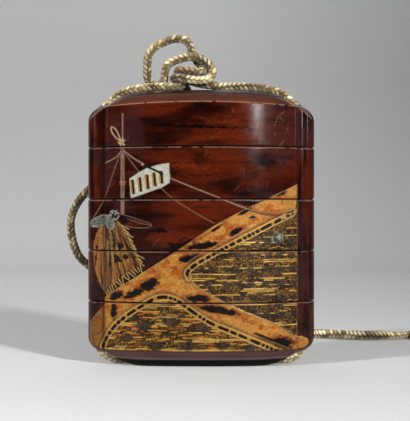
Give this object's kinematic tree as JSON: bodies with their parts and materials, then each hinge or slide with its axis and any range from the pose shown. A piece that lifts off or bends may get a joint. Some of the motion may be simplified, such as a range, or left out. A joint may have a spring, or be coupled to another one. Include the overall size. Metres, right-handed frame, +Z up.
{
  "type": "inro case",
  "caption": "Lens-shaped lacquered case of a lid over four stacked boxes, held by a plaited cord through side channels.",
  "frame": {"origin": "centre of the flat standing underside, without the free cord", "axes": "+Z up through the stack, -Y out of the decorated front, +X to the right seen from the front"},
  "size_m": [0.1378, 0.0834, 0.0874],
  "materials": {
    "lacquer": "deep red-brown lacquer over wood, polished, marbled darker, inlaid with gold, silver and shell",
    "cord": "plaited straw-coloured silk, matt"
  },
  "bodies": {
    "root": {"lid": "lacquer", "upper_case": "lacquer", "middle_case": "lacquer", "lower_case": "lacquer", "bottom_case": "lacquer", "cord_loop": "cord", "cord_knot": "cord", "cord_tail": "cord", "cord_coil": "cord", "coil_tie": "cord", "cord_end_knot": "cord"}
  },
  "joints": []
}
